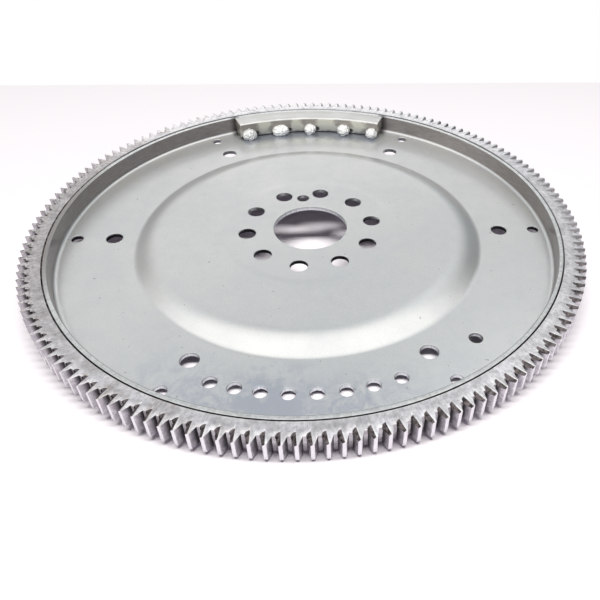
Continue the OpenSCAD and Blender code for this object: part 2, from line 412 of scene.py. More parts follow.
def disc_plate(finish, disc, weight):
    """Zinc plate over rolled sheet: mottled and stained, with a brushed rim wall, a smoky bluish deposit by
    the weight, and painted shade and light.
    """
    rim = disc.rim_r - disc.sheet_t
    ramp_foot = disc.crest_r + disc.ramp_w

    def paint(s, place):
        radius, direction, z = s.polar(place)
        cloud = s.spread(s.noise(place, 16.0, 4.0, 0.55, 0.6), 0.35, 0.68)
        mottle = s.spread(s.noise(place, 95.0, 5.0, 0.62), 0.34, 0.70)
        grain = s.noise(place, 1400.0, 2.0, 0.6)
        fine = s.noise(place, 380.0, 4.0, 0.65)
        dull = cloud * 0.45 + mottle * 0.35
        base = s.mix(dull, finish.disc, finish.disc_dull)
        base = s.times(base, s.spread(grain, 0.30, 0.75, 0.95, 1.04))
        pits = s.spread(s.noise(place, 420.0, 1.0, 0.4), 0.775, 0.81)
        base = s.times(base, 1.0 - pits * 0.45)

        dir_x, dir_y, _ = s.split(direction)
        # Bluish stains and a dark blot at the front of the floor; they also paint the shade that darkens the
        # floor towards the rim there.
        stain_and_shade = s.spread(s.noise(place, 70.0, 8.0, 0.72, 1.4), 0.36, 0.62)
        stain_and_shade *= s.spread(radius, rim - 51.6 * MM, rim - 13.6 * MM)
        stain_and_shade *= s.fall(dir_y, -0.96, -0.70) * s.spread(dir_x, 0.20, 0.45, 1.0, 0.2)
        blot = s.vector("DISTANCE", place, (*BLOT, disc.sheet_t), out=1)
        blot += s.spread(mottle, 0.0, 1.0, -14.0 * MM, 14.0 * MM, False)
        stain_and_shade = s.most(stain_and_shade, s.fall(blot, 12.0 * MM, 40.0 * MM, 0.85))
        # Painted shade on the ramp, darkest towards its foot, everywhere but at the front.
        ramp_shade = s.spread(radius, ramp_foot - 15.7 * MM, ramp_foot - 2.7 * MM) * s.spread(dir_y, -0.5, -0.3)
        ramp_shade *= s.fall(radius, ramp_foot - 0.2 * MM, ramp_foot + 1.8 * MM, 0.17)
        base = s.times(base, 1.0 - ramp_shade)
        stain_and_shade *= s.fall(radius, rim - 2.1 * MM, rim - 0.1 * MM)
        base = s.mix(stain_and_shade, base, finish.disc_stain_and_shade)
        # The rim top is painted lighter towards the back and a little darker at the front, as light, over a
        # random tone; at the far left it takes the wall colour.
        rim_top = s.spread(radius, rim + 0.1 * MM, rim + 0.5 * MM)
        tone = 1.0 + rim_top * s.spread(dir_y, -0.8, 0.8, -0.02, 0.20)
        base = s.times(base, tone * (1.0 + rim_top * s.spread(fine, 0.34, 0.66, -0.16, 0.10)))
        base = s.mix(rim_top * s.fall(dir_x, -0.99, -0.86, 0.95), base, finish.wall)

        # The upright rim wall takes the wall colour with a brushed grain; its darkness is painted shade.
        wall = s.upright() * s.spread(radius, rim - 2.1 * MM, rim - 1.1 * MM)
        wall *= s.fall(radius, rim + 1.4 * MM, rim + 1.8 * MM)
        x, y, _ = s.split(s.vector("MULTIPLY", direction, (26.0, 26.0, 0.0)))
        brush = s.noise(s.join(x, y, z * 2600.0), 1.0, 4.0, 0.62)
        base = s.mix(wall, base, s.times(finish.wall, s.spread(brush, 0.3, 0.7, 0.80, 1.2)))

        foot = rim - weight.width
        arc_x, arc_y, _ = s.split(place)
        off = abs(s.math("ARCTAN2", arc_y, arc_x) - weight.middle)
        ragged = radius + s.spread(mottle, 0.0, 1.0, -2.0 * MM, 2.0 * MM, False)
        half_arc = weight.arc / 2
        # A smoky bluish deposit on the floor in front of the weight, which also paints the shade and bluish
        # reflection at its foot.
        smoke_and_shade = s.spread(ragged, foot - 19.0 * MM, foot - 7.0 * MM)
        smoke_and_shade *= s.fall(off, half_arc - 0.02, half_arc + 0.03)
        smoke_and_shade *= s.fall(radius, foot + 3.0 * MM, foot + 5.0 * MM, 0.85)
        base = s.mix(smoke_and_shade, base, finish.smoke_and_shade)
        # Painted shadow on the wall and floor at the weight's ends, a dark line along the rim's inner top
        # edge, mostly at the front, and the groove's painted shade.
        ends = s.fall(abs(off - half_arc), 0.0, 0.035, 0.8)
        ends *= s.spread(radius, rim - 11.6 * MM, rim - 3.6 * MM)
        line = s.spread(radius, rim - 0.05 * MM, rim + 0.1 * MM) * s.fall(dir_y, -0.5, 0.1, 0.6)
        line *= s.fall(radius, rim + 0.4 * MM, rim + 0.6 * MM)
        dark = s.most(ends, line, groove(s, disc, radius, z, place))
        base = s.mix(dark, base, finish.soot_and_shade)

        rough = s.most(dull, smoke_and_shade) * 0.08 + (finish.roughness - 0.04)
        rough += s.spread(grain, 0.3, 0.7, -0.03, 0.03)
        height = grain * 0.5 + s.noise(place, 260.0, 3.0, 0.55)
        return base, rough, s.bump(height, 0.10, 0.3 * MM)
    return metal("zinc_plate", paint)


def punched_edge(finish, disc):
    """Wall of a punched hole: a bright land above, torn metal below, with painted shade on some holes."""
    def paint(s, place):
        radius, _, z = s.polar(place)
        ragged = s.noise(place, 500.0, 3.0, 0.6)
        on_pad = s.fall(radius, disc.pad_r, disc.pad_r + disc.pad_edge_w)
        height = z - on_pad * (disc.rise + disc.pad_rise)
        height += s.spread(ragged, 0.3, 0.7, -0.25 * MM, 0.25 * MM, False)
        # Painted shade: the dark torn band reaches higher in the pad's front holes and in the floor's holes
        # at the sides.
        north = s.split(place)[1]
        front = on_pad * s.fall(north, 0.0, 20.0 * MM)
        across = s.fall(abs(north), 30.0 * MM, 60.0 * MM)
        front = s.most(front, across * (1.0 - on_pad))
        edge = 0.35 * MM + front * (2.2 * MM)
        land = s.spread(height - edge, -0.15 * MM, 0.15 * MM)
        pilot = s.fall(radius, disc.pilot_r + 0.5 * MM, disc.pilot_r + 1.0 * MM)
        x, y, _ = s.split(s.vector("MULTIPLY", place, (1400.0, 1400.0, 0.0)))
        drawn = s.noise(s.join(x, y, z * 90.0), 1.0, 3.0, 0.6)
        bright = s.times(finish.punched, s.spread(drawn, 0.3, 0.7, 0.78, 1.12))
        # Painted shade: the land of the small holes in the pad is half as bright.
        small = on_pad * (1.0 - pilot)
        bright = s.times(bright, s.spread(small, 0.0, 1.0, 1.0, 0.5))
        base = s.mix(s.most(land, pilot), finish.torn, bright)
        rough = s.spread(land, 0.0, 1.0, 0.6, 0.35)
        return base, rough, s.bump(ragged, 0.15, 0.3 * MM)
    return metal("punched_edge", paint)


def gear_plate(finish, disc, gear):
    """Plated gear steel with radial strokes and brown wear, painted lighter at the back and towards the
    teeth, with painted highlights on the tips and painted shade on the flanks, in the gaps between the teeth
    and in the groove.
    """
    def paint(s, place):
        radius, direction, z = s.polar(place)
        strokes = s.strokes(direction, radius, 340.0, 60.0)
        cloud = s.noise(place, 120.0, 5.0, 0.65)
        patch = s.spread(s.noise(place, 70.0, 4.0, 0.6), 0.42, 0.66)
        x, y, _ = s.split(direction)
        left = s.spread(x, -0.75, 0.25, 1.0, 0.10)
        wear = patch * left * s.spread(strokes, 0.36, 0.60)
        wear = s.most(wear, s.fall(x, -0.97, -0.62, 0.5))
        base = s.mix(wear, finish.gear, finish.gear_dark)
        # Painted light: the ring is lighter towards the back, with a painted highlight at the front right;
        # the rest of the tone is random.
        tone = s.spread(y, 0.2, 0.8, 1.0, 1.38) * s.spread(x - y, 1.29, 1.41, 1.0, 1.13)
        tone *= s.spread(strokes, 0.3, 0.72, 0.88, 1.08) * s.spread(cloud, 0.35, 0.68, 1.08, 0.80)
        flecks = s.noise(place, 380.0, 4.0, 0.65)
        tone *= s.spread(flecks, 0.34, 0.66, 0.84, 1.10)
        tone *= s.spread(s.noise(place, 900.0, 2.0, 0.5), 0.62, 0.72, 1.0, 0.65)
        base = s.times(base, tone)

        root_r = gear.bore_r + gear.band_w
        tip_r = root_r + gear.tooth_h
        pitted = s.spread(s.noise(place, 620.0, 2.0, 0.5), 0.54, 0.62) * s.fall(x, -0.96, -0.72, 0.85)
        pitted *= s.spread(radius, root_r - 4.0 * MM, root_r - 1.0 * MM, 0.25, 1.0)
        base = s.mix(pitted, base, finish.soot_and_shade)
        # Painted highlight: the ring top gets lighter towards the teeth.
        base = s.times(base, s.spread(radius, root_r - 3.5 * MM, root_r + 0.5 * MM, 1.0, 1.14))
        facing = s.spread(abs(s.vector("DOT_PRODUCT", s.normal(), direction, out=1)), 0.6, 0.9)
        # Painted shade: the upright flanks take the greyer flank colour, mottled.
        flank = s.upright() * s.spread(radius, root_r - 0.5 * MM, root_r + 0.5 * MM)
        base = s.mix(flank * s.spread(flecks, 0.35, 0.65, 0.9, 0.35), base, finish.flank)
        # Painted highlight on the lands of the tips.
        bright = facing * s.spread(radius, tip_r - 0.5 * MM, tip_r - 0.2 * MM)
        base = s.mix(bright, base, finish.tip)
        # Painted shade in the gaps between the teeth, less at the back, and along the groove at the back.
        gap_shade = s.upright() * s.fall(radius, root_r + 0.3 * MM, root_r + 3.6 * MM, 0.92)
        gap_shade *= s.spread(radius, root_r - 1.0 * MM, root_r - 0.5 * MM)
        gap_shade *= (1.0 - facing * 0.8) * s.spread(y, -0.2, 0.6, 1.0, 0.25)
        line = s.fall(radius, gear.bore_r + 0.8 * MM, gear.bore_r + 1.7 * MM, 0.85)
        line *= s.spread(y, 0.3, 0.6) * s.spread(y, 0.90, 0.96, 1.0, 0.6)
        dark = s.most(gap_shade, line, groove(s, disc, radius, z, place))
        base = s.mix(dark, base, finish.soot_and_shade)

        rough = strokes * 0.16 + 0.26
        height = s.noise(place, 700.0, 3.0, 0.6) + strokes * 0.7
        return base, rough, s.bump(height, 0.16, 0.3 * MM)
    return metal("gear_plate", paint)


def bevel_steel(finish):
    """Dark, roughly cut engagement bevels, painted in the gear's lighter colour at the back and on the
    right, as light.
    """
    def paint(s, place):
        patch = s.noise(place, 420.0, 4.0, 0.65)
        x, y, _ = s.split(s.polar(place)[1])
        base = s.times(finish.bevel, s.spread(patch, 0.36, 0.66, 0.25, 2.4))
        # Painted light: at the back and on the right the bevels take the gear's lighter colour.
        back = s.spread(y, 0.70, 0.88) * s.spread(x, 0.42, 0.65, 0.9, 0.4)
        back = s.most(back, s.spread(x, 0.50, 0.85) * s.climb(y, -0.45, 0.05, 0.4))
        base = s.mix(back, base, finish.gear)
        rough = s.spread(patch, 0.3, 0.7, 0.42, 0.62)
        return base, rough, s.bump(patch, 0.3, 0.3 * MM)
    return metal("bevel_steel", paint)


def weight_plate(finish, disc, weight):
    """Plated bar steel, brown above each tack weld and straw-coloured between them, sooty with painted shade
    at the foot, and a painted shadow beside each tack.
    """
    face_r = disc.rim_r - disc.sheet_t - weight.width

    def paint(s, place):
        _, _, z = s.polar(place)
        cloud = s.spread(s.noise(place, 60.0, 4.0, 0.6), 0.35, 0.7)
        grain = s.noise(place, 1200.0, 2.0, 0.6)
        ripple = s.noise(place, 160.0, 3.0)
        base = s.times(finish.weight, s.spread(cloud, 0.0, 1.0, 0.92, 1.05))
        face = s.fall(s.split(s.normal())[2], 0.25, 0.7)
        near = tack_distance(s, place) + s.spread(ripple, 0.3, 0.7, -0.012, 0.012)
        burnt = s.fall(near, 0.030, 0.062)
        tint = s.mix(burnt, finish.straw, finish.tint)
        # The tint is made lighter towards the right.
        tint = s.times(tint, s.spread(s.split(place)[0], -60.0 * MM, 60.0 * MM, 1.10, 1.36))
        # A sooty band at the weight's foot, which is also painted shade in its corner with the floor, and a
        # painted shadow beside each tack.
        foot = z + s.spread(ripple, 0.3, 0.7, -1.5 * MM, 1.5 * MM, False)
        smoke_and_shade = s.fall(foot, disc.sheet_t + 0.5 * MM, disc.sheet_t + 3.0 * MM, 0.6)
        beside = tack_distance(s, place, 0.042) * face_r
        beside = s.vector("LENGTH", s.join(beside, z - (disc.sheet_t + 3.5 * MM), 0.0), out=1)
        smoke_and_shade = s.most(smoke_and_shade, s.fall(beside, 1.0 * MM, 3.0 * MM, 0.95))
        tint = s.mix(smoke_and_shade, tint, finish.soot_and_shade)
        base = s.mix(face, base, tint)
        rough = cloud * 0.10 + (finish.roughness - 0.04)
        return base, rough, s.bump(grain + cloud, 0.10, 0.3 * MM)
    return metal("weight_plate", paint)


def weld_plate(name, bright, dark, metallic):
    """Rough plated weld metal, with painted shade on its downward faces."""
    def paint(s, place):
        lumps = s.noise(place, 330.0, 4.0, 0.6)
        dirt = s.spread(s.noise(place, 800.0, 3.0, 0.6), 0.62, 0.72)
        # Painted shade on the faces that look down; the welds left of x = -53 mm are a little darker.
        low = s.fall(s.split(s.normal())[2], -0.6, -0.2, 0.7)
        worn = s.fall(s.split(place)[0], -53.0 * MM, -49.0 * MM, 0.16)
        base = s.mix(s.most(dirt * 0.07 + worn, low), bright, dark)
        rough = s.spread(lumps, 0.3, 0.7, 0.46, 0.62)
        return base, rough, s.bump(lumps, 0.16, 0.8 * MM)
    return metal(name, paint, metallic)


def on_circle(radius, turn, z=0.0):
    return Vector((radius * math.cos(turn), radius * math.sin(turn), z))


def arc(centre, radius, start, end, steps):
    """Points (radius from axis, height) along an arc, angles in degrees."""
    points = []
    for i in range(steps + 1):
        turn = math.radians(start + (end - start) * i / steps)
        points.append((centre[0] + radius * math.cos(turn), centre[1] + radius * math.sin(turn)))
    return points


def bridge(bm, rings):
    """Joins each closed ring of points to the next. Returns the faces, step by step."""
    steps = []
    for a, b in zip(rings, rings[1:]):
        after = [(i + 1) % len(a) for i in range(len(a))]
        steps.append([bm.faces.new((a[i], b[i], b[j], a[j])) for i, j in enumerate(after)])
    return steps


def bar(bm, rings):
    """A bar through rings of points, closed at both ends."""
    bridge(bm, rings)
    bm.faces.new(rings[0])
    bm.faces.new(rings[-1])


def lathe(bm, profile, steps, centre=Vector()):
    """Turns a profile of (radius, height) about an upright line."""
    turns = [TURN * i / steps for i in range(steps)]
    rings = [[bm.verts.new(centre + on_circle(r, turn, z)) for turn in turns] for r, z in profile]
    return bridge(bm, rings)


def holed_annulus(bm, inner_r, outer_r, z, holes, steps, up):
    """A flat ring with round holes, each (centre, radius, sides)."""
    loops = [[on_circle(r, TURN * i / steps).to_2d() for i in range(steps)] for r in (inner_r, outer_r)]
    for centre, radius, sides in holes:
        loops.append([centre.to_2d() + on_circle(radius, TURN * i / sides).to_2d() for i in range(sides)])
    points, edges = [], []
    for loop in loops:
        first = len(points)
        points += loop
        edges += [(first + i, first + (i + 1) % len(loop)) for i in range(len(loop))]
    found, _, faces, *_ = delaunay_2d_cdt(points, edges, [], 0, 1e-9)
    verts = [bm.verts.new((p.x, p.y, z)) for p in found]
    for face in faces:
        middle = sum((found[i] for i in face), Vector((0, 0))) / len(face)
        if not inner_r * 0.9999 < middle.length < outer_r:
            continue
        if any((middle - centre.to_2d()).length < radius * 0.99 for centre, radius, _ in holes):
            continue
        corners = [verts[i] for i in face]
        bm.faces.new(corners if up else corners[::-1])


def hole_wall(bm, centre, radius, low, high, edge_r, margin, sides):
    """The wall of a punched hole, with rounded edges and a flat margin at both faces."""
    profile = [(radius + edge_r + margin, high)]
    profile += arc((radius + edge_r, high - edge_r), edge_r, 90, 180, 3)
    profile += arc((radius + edge_r, low + edge_r), edge_r, 180, 270, 3)
    profile += [(radius + edge_r + margin, low)]
    torn = slice(4, 8)
    for step in lathe(bm, profile, sides, centre)[torn]:
        for face in step:
            face.material_index = 1


def finish_mesh(bm, name, materials, smooth_angle=35.0, weld=1e-6):
    """Makes an object of a mesh, welded, with outward faces and smooth shading up to an angle."""
    bmesh.ops.remove_doubles(bm, verts=bm.verts, dist=weld)
    stray = [v for v in bm.verts if not v.link_faces]
    bmesh.ops.delete(bm, geom=stray, context="VERTS")
    bmesh.ops.recalc_face_normals(bm, faces=bm.faces)
    mesh = bpy.data.meshes.new(name)
    bm.to_mesh(mesh)
    bm.free()
    mesh.shade_smooth()
    mesh.set_sharp_from_angle(angle=math.radians(smooth_angle))
    for material in materials:
        mesh.materials.append(material)
    piece = bpy.data.objects.new(name, mesh)
    bpy.context.scene.collection.objects.link(piece)
    return piece


def round_edges(piece, width, segments, degrees):
    """Rounds the edges that are sharper than an angle."""
    edge = piece.modifiers.new("edge", "BEVEL")
    edge.width = width
    edge.segments = segments
    edge.limit_method = "ANGLE"
    edge.angle_limit = math.radians(degrees)


def stands_for(piece, node):
    """The piece rides on the part's one body in place of a CAD node."""
    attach(piece, "root")
    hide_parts(node)


def applied(piece):
    """The piece's mesh with its modifiers applied, as a new mesh; the piece is removed."""
    graph = bpy.context.evaluated_depsgraph_get()
    mesh = bpy.data.meshes.new_from_object(piece.evaluated_get(graph))
    bpy.data.objects.remove(piece)
    return mesh


class FLEXPLATE_OT_disc(bpy.types.Operator):
    """Build the pressed disc with its ramp, rim and holes"""

    bl_idname = "flexplate.disc"
    bl_label = "Disc"

    STEPS = 360
    MARGIN = 0.4 * MM

    def execute(self, context):
        disc = context.scene.flexplate_disc
        floor = disc.sheet_t
        plateau = floor + disc.rise
        pad = plateau + disc.pad_rise
        slope = math.degrees(math.atan2(disc.rise, disc.ramp_w))
        half = math.tan(math.radians(slope / 2))
        crest = (disc.crest_r - disc.crest_bend_r * half, plateau - disc.crest_bend_r)
        foot = (disc.crest_r + disc.ramp_w + disc.foot_bend_r * half, floor + disc.foot_bend_r)
        bend = (disc.rim_r - disc.sheet_t - disc.rim_bend_r, floor + disc.rim_bend_r)
        bm = bmesh.new()

        pad_out = disc.pad_r - self.MARGIN
        floor_in, floor_out = foot[0] + self.MARGIN, bend[0] - self.MARGIN
        ease = [self.pad_edge(disc, plateau, i / 8) for i in range(9)]
        top = [(pad_out, pad)] + ease + arc(crest, disc.crest_bend_r, 90, 90 - slope, 20)
        top += arc(foot, disc.foot_bend_r, 270 - slope, 270, 8) + [(floor_in, floor)]
        under = [(pad_out, pad - disc.sheet_t)] + [(r, z - disc.sheet_t) for r, z in ease]
        under += arc(crest, disc.crest_bend_r - disc.sheet_t, 90, 90 - slope, 20)
        under += arc(foot, disc.foot_bend_r + disc.sheet_t, 270 - slope, 270, 8) + [(floor_in, 0.0)]
        lathe(bm, top, self.STEPS)
        lathe(bm, under[::-1], self.STEPS)

        edge = disc.rim_edge
        inner = disc.rim_r - disc.sheet_t
        soft = 0.15 * MM
        rim = [(floor_out, floor)] + arc(bend, disc.rim_bend_r, 270, 360, 10)
        rim += arc((inner + edge, disc.rim_h - edge), edge, 180, 90, 4)
        rim += arc((disc.rim_r - edge - soft, disc.rim_h - soft), soft, 90, 14, 3)
        rim += [(disc.rim_r, disc.rim_h - disc.groove_h)]
        rim += arc(bend, disc.rim_bend_r + disc.sheet_t, 360, 270, 12) + [(floor_out, 0.0)]
        lathe(bm, rim, self.STEPS)

        low, high = pad - disc.sheet_t, pad
        pad_holes = self.holes(disc.crank_circle_r, disc.crank_hole_r, disc.crank_start, disc.crank_count)
        # The dowel hole is midway between the third bolt and the fourth
        dowel_turn = disc.crank_start + 2.5 * TURN / disc.crank_count
        pad_holes.append((on_circle(disc.dowel_circle_r, dowel_turn), disc.dowel_hole_r))
        pilot_out = disc.pilot_r + disc.hole_edge_r + self.MARGIN
        self.flat(bm, disc, pad_holes, pilot_out, pad_out, low, high)
        hole_wall(bm, Vector(), disc.pilot_r, low, high, disc.hole_edge_r, self.MARGIN, self.STEPS)

        bolts = disc.converter_count
        floor_holes = self.holes(disc.converter_circle_r, disc.converter_hole_r, 0.0, bolts)
        floor_holes += self.holes(disc.outer_circle_r, disc.outer_hole_r, 0.0, bolts)
        for degrees in DRILL_ANGLES:
            floor_holes.append((on_circle(disc.drill_circle_r, math.radians(degrees)), disc.drill_hole_r))
        self.flat(bm, disc, floor_holes, floor_in, floor_out, 0.0, floor)

        finish = context.scene.flexplate_finish
        materials = [disc_plate(finish, disc, context.scene.flexplate_weight), punched_edge(finish, disc)]
        piece = finish_mesh(bm, "pressed_disc", materials)
        stands_for(piece, "flex_disc")
        return {"FINISHED"}

    @staticmethod
    def pad_edge(disc, plateau, along):
        """A point on the pad's soft edge, from its top at 0 to its foot at 1."""
        fall = 0.5 + 0.5 * math.cos(math.pi * along)
        return disc.pad_r + disc.pad_edge_w * along, plateau + disc.pad_rise * fall

    @staticmethod
    def holes(circle_r, hole_r, start, count):
        return [(on_circle(circle_r, start + TURN * i / count), hole_r) for i in range(count)]

    def flat(self, bm, disc, holes, inner_r, outer_r, low, high):
        """Both faces of a flat ring of sheet, with its holes' walls."""
        sides = 64
        cut = [(centre, radius + disc.hole_edge_r + self.MARGIN, sides) for centre, radius in holes]
        holed_annulus(bm, inner_r, outer_r, high, cut, self.STEPS, True)
        holed_annulus(bm, inner_r, outer_r, low, cut, self.STEPS, False)
        for centre, radius in holes:
            hole_wall(bm, centre, radius, low, high, disc.hole_edge_r, self.MARGIN, sides)


class FLEXPLATE_OT_gear(bpy.types.Operator):
    """Build the ring gear: bevel one sector of three teeth, then repeat its middle tooth"""

    bl_idname = "flexplate.gear"
    bl_label = "Ring gear"

    FLANK_STEPS = 5

    def execute(self, context):
        gear = context.scene.flexplate_gear
        disc = context.scene.flexplate_disc
        top = disc.rim_h
        pitch = TURN / gear.teeth
        sector = self.three_teeth(gear, top, pitch, disc.groove_h)
        cutters = [self.cutter(gear, top, k * pitch) for k in (-1, 0, 1)]
        for cutter in cutters:
            cut = sector.modifiers.new("bevel_cut", "BOOLEAN")
            cut.operation = "DIFFERENCE"
            cut.solver = "EXACT"
            cut.object = cutter
        round_edges(sector, gear.edge_r / MM, 2, 28)
        mesh = applied(sector)
        for cutter in cutters:
            bpy.data.objects.remove(cutter)

        tooth = bmesh.new()
        tooth.from_mesh(mesh)
        for side in (-1, 1):
            normal = Vector((-math.sin(side * pitch / 2), math.cos(side * pitch / 2), 0)) * side
            geom = tooth.verts[:] + tooth.edges[:] + tooth.faces[:]
            bmesh.ops.bisect_plane(
                tooth, geom=geom, dist=1e-5, plane_co=(0, 0, 0), plane_no=normal, clear_outer=True)
        bevel_normal = Vector((0, -math.sin(gear.bevel_slope), math.cos(gear.bevel_slope)))
        bevel_normal.rotate(Matrix.Rotation(gear.bevel_turn, 3, "Z"))
        for face in tooth.faces:
            face.material_index = 1 if face.normal.dot(bevel_normal) > 0.985 else 0
        tooth.transform(Matrix.Scale(MM, 4))
        one = bpy.data.meshes.new("tooth")
        tooth.to_mesh(one)
        tooth.free()

        bm = bmesh.new()
        for k in range(gear.teeth):
            before = len(bm.verts)
            bm.from_mesh(one)
            bm.verts.ensure_lookup_table()
            turn = Matrix.Rotation(gear.start + k * pitch, 3, "Z")
            bmesh.ops.rotate(bm, verts=bm.verts[before:], cent=(0, 0, 0), matrix=turn)
        finish = context.scene.flexplate_finish
        materials = [gear_plate(finish, disc, gear), bevel_steel(finish)]
        piece = finish_mesh(bm, "starter_ring", materials, 30.0, 5e-6)
        stands_for(piece, "ring_gear")
        return {"FINISHED"}

    @staticmethod
    def involute(slant):
        return math.tan(slant) - slant

    def three_teeth(self, gear, top, pitch, groove_h):
        """A closed block of three whole teeth, in millimetres."""
        root_r = (gear.bore_r + gear.band_w) / MM
        tip_r = root_r + gear.tooth_h / MM
        pitch_r = root_r + gear.dedendum / MM
        base_r = pitch_r * math.cos(gear.pressure_angle)
        half = pitch / 4 - gear.backlash / MM / 2 / pitch_r
        outline = []
        for k in (-1, 0, 1):
            for side in (-1, 1):
                for i in range(self.FLANK_STEPS + 1):
                    step = i if side < 0 else self.FLANK_STEPS - i
                    r = root_r + (tip_r - root_r) * step / self.FLANK_STEPS
                    lean = self.involute(gear.pressure_angle) - self.involute(math.acos(base_r / r))
                    outline.append((r, k * pitch + side * (half + lean)))
        ends = 1.5 * pitch
        outline = [(root_r, -ends)] + outline + [(root_r, ends)]
        bore_r, edge = gear.bore_r / MM, gear.bore_edge / MM
        high, low = top / MM, (top - gear.width) / MM
        bore_turns = [ends - 2 * ends * i / 6 for i in range(7)]
        bm = bmesh.new()
        upper = [bm.verts.new(on_circle(r, t, high)) for r, t in outline]
        lower = [bm.verts.new(on_circle(r, t, low)) for r, t in outline]
        bore = [(bore_r + edge, high), (bore_r, high - groove_h / MM)]
        bore += [(bore_r, low + edge), (bore_r + edge, low)]
        rings = [[bm.verts.new(on_circle(r, t, z)) for t in bore_turns] for r, z in bore]
        bm.faces.new(upper + rings[0])
        bm.faces.new((lower + rings[-1])[::-1])
        for i in range(len(outline) - 1):
            bm.faces.new((lower[i], lower[i + 1], upper[i + 1], upper[i]))
        for above, below in zip(rings, rings[1:]):
            for i in range(len(bore_turns) - 1):
                bm.faces.new((above[i], below[i], below[i + 1], above[i + 1]))
        bm.faces.new([upper[0], lower[0]] + [ring[-1] for ring in rings[::-1]])
        bm.faces.new([lower[-1], upper[-1]] + [ring[0] for ring in rings])
        return finish_mesh(bm, "three_teeth", [])

    @staticmethod
    def cutter(gear, top, turn):
        """The cutter of one tooth's engagement bevel, in millimetres: upright, with a sloping floor."""
        run_in, width = gear.bevel_run_in / MM, gear.bevel_w / MM
        root_r = (gear.bore_r + gear.band_w) / MM
        reach = gear.tooth_h / MM + run_in + 1.0
        outline = [(reach, -width), (reach, 0.0)]
        for i in range(13):
            a = math.radians(90 * i / 12)
            outline.append((run_in * (1 - math.cos(a)), -width * math.sin(a)))
        bm = bmesh.new()
        low = [bm.verts.new((x, y, y * math.tan(gear.bevel_slope))) for x, y in outline]
        high = [bm.verts.new((x, y, 2.0)) for x, y in outline]
        bar(bm, [low, high])
        place = Matrix.Translation((root_r - run_in, -gear.bevel_offset / MM, top / MM))
        bm.transform(Matrix.Rotation(turn, 4, "Z") @ place @ Matrix.Rotation(gear.bevel_turn, 4, "Z"))
        return finish_mesh(bm, "bevel_cutter", [])


class FLEXPLATE_OT_weight(bpy.types.Operator):
    """Build the balance weight inside the rim"""

    bl_idname = "flexplate.weight"
    bl_label = "Balance weight"

    STEPS = 60

    def execute(self, context):
        weight = context.scene.flexplate_weight
        disc = context.scene.flexplate_disc
        outer = disc.rim_r - disc.sheet_t - weight.fit
        inner = disc.rim_r - disc.sheet_t - weight.width
        low, high = disc.sheet_t + weight.fit, disc.sheet_t + weight.height
        relief = disc.rim_bend_r + weight.fit
        rim_edge = 0.3 * MM
        profile = arc((inner + weight.edge_r, high - weight.edge_r), weight.edge_r, 90, 180, 8)
        profile += arc((inner + weight.edge_r, low + weight.edge_r), weight.edge_r, 180, 270, 6)
        profile += [(outer - relief, low), (outer, low + relief)]
        profile += arc((outer - rim_edge, high - rim_edge), rim_edge, 0, 90, 3)
        bm = bmesh.new()
        start = weight.middle - weight.arc / 2
        rings = []
        for i in range(self.STEPS + 1):
            turn = start + weight.arc * i / self.STEPS
            rings.append([bm.verts.new(on_circle(r, turn, z)) for r, z in profile])
        bar(bm, rings)
        finish = context.scene.flexplate_finish
        piece = finish_mesh(bm, "balance_bar", [weight_plate(finish, disc, weight)])
        round_edges(piece, 0.4 * MM, 3, 50)
        stands_for(piece, "balance_weight")
        return {"FINISHED"}


class FLEXPLATE_OT_tacks(bpy.types.Operator):
    """Build the tack welds at the weight's foot"""

    bl_idname = "flexplate.tacks"
    bl_label = "Tack welds"

    def execute(self, context):
        weight = context.scene.flexplate_weight
        disc = context.scene.flexplate_disc
        face_r = disc.rim_r - disc.sheet_t - weight.width
        limit = face_r - 0.02 * MM
        bm = bmesh.new()
        for i, (degrees, swell, run) in enumerate(TACKS):
            made = bmesh.ops.create_icosphere(bm, subdivisions=6, radius=1.0)["verts"]
            for v in made:
                v.co = self.lump(v.co, weight.tack_r * swell, run, i)
            middle = Matrix.Translation((face_r - weight.tack_out, 0, disc.sheet_t + weight.tack_rise))
            turn = Matrix.Rotation(math.radians(degrees), 4, "Z")
            bmesh.ops.transform(bm, matrix=turn @ middle, verts=made)
            for v in made:
                v.co.z = max(v.co.z, disc.sheet_t)
                out = v.co.to_2d().length
                if out > limit:
                    v.co.x *= limit / out
                    v.co.y *= limit / out
        finish = context.scene.flexplate_finish
        skin = weld_plate("tack_weld", finish.weld, finish.soot_and_shade, 1.0)
        piece = finish_mesh(bm, "tack_beads", [skin], 60.0, 1e-7)
        stands_for(piece, "tack_welds")
        return {"FINISHED"}

    @staticmethod
    def lump(point, radius, run, seed):
        """Swells a point of a unit ball into a lumpy bead, drawn out along its run."""
        spot = point * 1.3 + Vector((seed * 7.3, 1.9, 4.1))
        waves = ((0.11, 1.0), (0.10, 2.7), (0.07, 6.5))
        swell = 1.0 + sum(rise * noise.noise(spot * scale) for rise, scale in waves)
        place = point * radius * swell
        place.y += run / 2 * point.y
        return place


